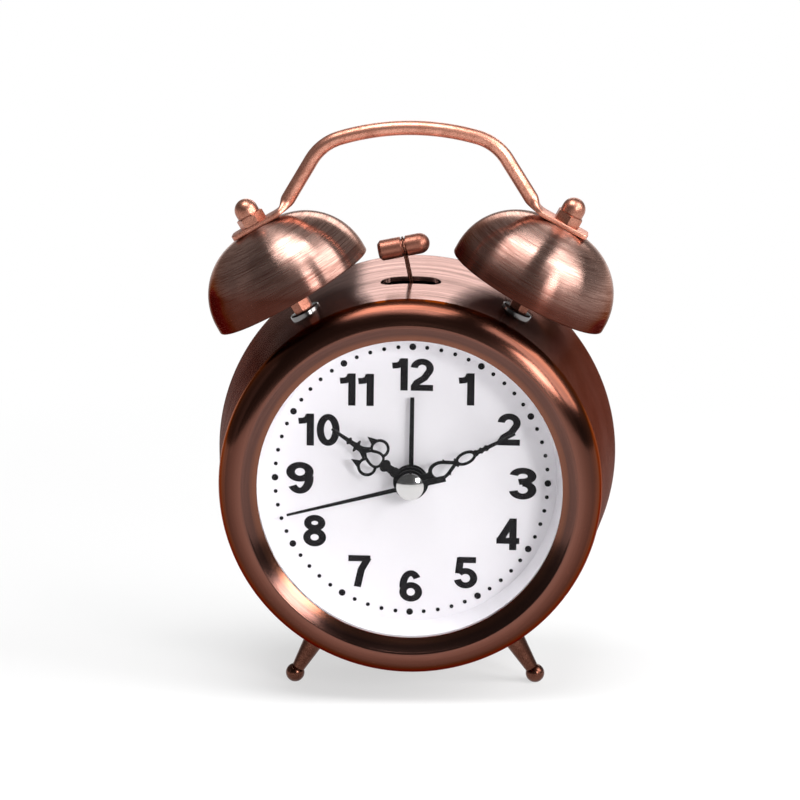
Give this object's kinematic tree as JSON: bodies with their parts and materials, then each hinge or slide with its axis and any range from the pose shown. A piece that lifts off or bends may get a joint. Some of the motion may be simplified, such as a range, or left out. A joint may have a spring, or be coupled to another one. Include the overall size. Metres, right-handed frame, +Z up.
{
  "type": "alarm clock",
  "caption": "Twin-bell alarm clock: round drum case on peg feet, domed bells struck by a swinging hammer, wire carrying handle, glazed dial with four hands.",
  "frame": {"origin": "on the ground under the middle of the clock, at the centre of its box", "axes": "+Z up, +Y from the dial towards the rear cover, +X to the right as the dial is read"},
  "size_m": [0.09, 0.0513, 0.1268],
  "materials": {
    "polished_copper": "antique copper plate, polished with fine brush lines",
    "bell_copper": "antique copper plate, brushed around the bell",
    "trim_copper": "matt antique copper plate with fine speckle",
    "zinc_steel": "bright zinc plate",
    "dial_white": "matt printed card",
    "ring_white": "moulded satin",
    "clear_glass": "clear polished",
    "hand_black": "satin black paint",
    "cap_chrome": "mirror",
    "cover_black": "fine moulded grain",
    "knob_black": "moulded satin",
    "frame_plastic": "moulded",
    "wheel_plastic": "moulded acetal",
    "train_brass": "turned",
    "board_green": "solder mask",
    "chip_black": "moulded",
    "coil_wire": "enamelled wire",
    "cell_wrap": "printed film over a steel can",
    "magnet_grey": "sintered"
  },
  "bodies": {
    "case": {"back_cover": "cover_black", "battery_cell": "cell_wrap", "bell_motor": "zinc_steel", "carry_handle": "trim_copper", "case_body": "polished_copper", "circuit_board": "board_green", "clock_chip": "chip_black", "coil_bobbin": "chip_black", "coil_winding": "coil_wire", "contact_plus": "zinc_steel", "contact_spring": "zinc_steel", "cover_screws": "zinc_steel", "dial": "dial_white", "dial_ring": "ring_white", "frame_screws": "zinc_steel", "front_bezel": "polished_copper", "glass_lens": "clear_glass", "hammer_bracket": "zinc_steel", "hammer_pin": "zinc_steel", "inner_frame": "frame_plastic", "left_bell": "bell_copper", "left_bell_post": "trim_copper", "left_cap_nut": "trim_copper", "left_foot": "trim_copper", "movement_plate": "frame_plastic", "movement_shell": "frame_plastic", "post_nuts": "zinc_steel", "post_washers": "zinc_steel", "quartz_crystal": "zinc_steel", "rear_foot": "trim_copper", "right_bell": "bell_copper", "right_bell_post": "trim_copper", "right_cap_nut": "trim_copper", "right_foot": "trim_copper", "stator": "zinc_steel", "switch_body": "chip_black"},
    "hammer": {"hammer_head": "trim_copper", "hammer_wire": "trim_copper", "hammer_lever": "zinc_steel"},
    "crank": {"bell_crank": "wheel_plastic", "motor_shaft": "zinc_steel"},
    "seconds": {"second_wheel": "train_brass", "second_hand": "hand_black", "centre_cap": "cap_chrome"},
    "rotor": {"rotor_pinion": "wheel_plastic", "rotor_magnet": "magnet_grey"},
    "middle": {"middle_wheel": "wheel_plastic"},
    "third": {"third_wheel": "wheel_plastic"},
    "centre": {"centre_wheel": "wheel_plastic"},
    "minutes": {"cannon_pinion": "train_brass", "minute_hand": "hand_black"},
    "motion": {"motion_wheel": "wheel_plastic"},
    "hours": {"hour_wheel": "train_brass", "hour_hand": "hand_black"},
    "time_setter": {"time_knob": "knob_black"},
    "alarm": {"alarm_wheel": "wheel_plastic", "alarm_hand": "hand_black"},
    "alarm_setter": {"alarm_knob": "knob_black"},
    "switch": {"alarm_switch": "knob_black"},
    "door": {"battery_door": "cover_black"}
  },
  "joints": [
    {"name": "hammer_swing", "type": "hinge", "parent": "case", "child": "hammer", "pos_m": [0.0006, -0.0054, 0.0882], "axis": [0, 1, 0], "range_deg": [-10, 27.5]},
    {"name": "crank_spin", "type": "hinge", "parent": "case", "child": "crank", "pos_m": [0.00094, -0.0054, 0.07871], "axis": [0, 1, 0], "range_deg": [-49, 133]},
    {"name": "seconds_spin", "type": "hinge", "parent": "case", "child": "seconds", "pos_m": [0, -0.0144, 0.0482], "axis": [0, 1, 0], "continuous": true},
    {"name": "rotor_spin", "type": "hinge", "parent": "case", "child": "rotor", "pos_m": [0.01046, -0.0144, 0.05613], "axis": [0, 1, 0], "continuous": true},
    {"name": "middle_spin", "type": "hinge", "parent": "case", "child": "middle", "pos_m": [0.0035, -0.0144, 0.05426], "axis": [0, 1, 0], "continuous": true},
    {"name": "third_spin", "type": "hinge", "parent": "case", "child": "third", "pos_m": [-0.00651, -0.0144, 0.05366], "axis": [0, 1, 0], "continuous": true},
    {"name": "centre_spin", "type": "hinge", "parent": "case", "child": "centre", "pos_m": [0, -0.0144, 0.0482], "axis": [0, 1, 0], "continuous": true},
    {"name": "minute_spin", "type": "hinge", "parent": "case", "child": "minutes", "pos_m": [0, -0.0144, 0.0482], "axis": [0, 1, 0], "continuous": true},
    {"name": "motion_spin", "type": "hinge", "parent": "case", "child": "motion", "pos_m": [-0.00816, -0.0144, 0.0444], "axis": [0, 1, 0], "continuous": true},
    {"name": "hour_spin", "type": "hinge", "parent": "case", "child": "hours", "pos_m": [0, -0.0144, 0.0482], "axis": [0, 1, 0], "continuous": true},
    {"name": "time_knob_spin", "type": "hinge", "parent": "case", "child": "time_setter", "pos_m": [-0.01676, -0.0144, 0.04176], "axis": [0, 1, 0], "continuous": true},
    {"name": "alarm_spin", "type": "hinge", "parent": "case", "child": "alarm", "pos_m": [0, -0.0144, 0.0482], "axis": [0, 1, 0], "continuous": true},
    {"name": "alarm_knob_spin", "type": "hinge", "parent": "case", "child": "alarm_setter", "pos_m": [0.01526, -0.0144, 0.04176], "axis": [0, 1, 0], "continuous": true},
    {"name": "alarm_switch_slide", "type": "slide", "parent": "case", "child": "switch", "axis": [-1, 0, 0], "range_m": [0, 0.004]},
    {"name": "battery_door_hinge", "type": "hinge", "parent": "case", "child": "door", "pos_m": [0, 0.01785, 0.0176], "axis": [-1, 0, 0], "range_deg": [0, 85]}
  ],
  "couplings": [
    {"joint": "crank_spin", "follows": "hammer_swing", "ratio": 4.8},
    {"joint": "middle_spin", "follows": "seconds_spin", "ratio": -6},
    {"joint": "rotor_spin", "follows": "seconds_spin", "ratio": 30},
    {"joint": "third_spin", "follows": "seconds_spin", "ratio": -0.13333},
    {"joint": "centre_spin", "follows": "seconds_spin", "ratio": 0.016667},
    {"joint": "motion_spin", "follows": "minute_spin", "ratio": -0.33333},
    {"joint": "hour_spin", "follows": "minute_spin", "ratio": 0.083333},
    {"joint": "time_knob_spin", "follows": "minute_spin", "ratio": 1},
    {"joint": "alarm_knob_spin", "follows": "alarm_spin", "ratio": -2.6}
  ]
}
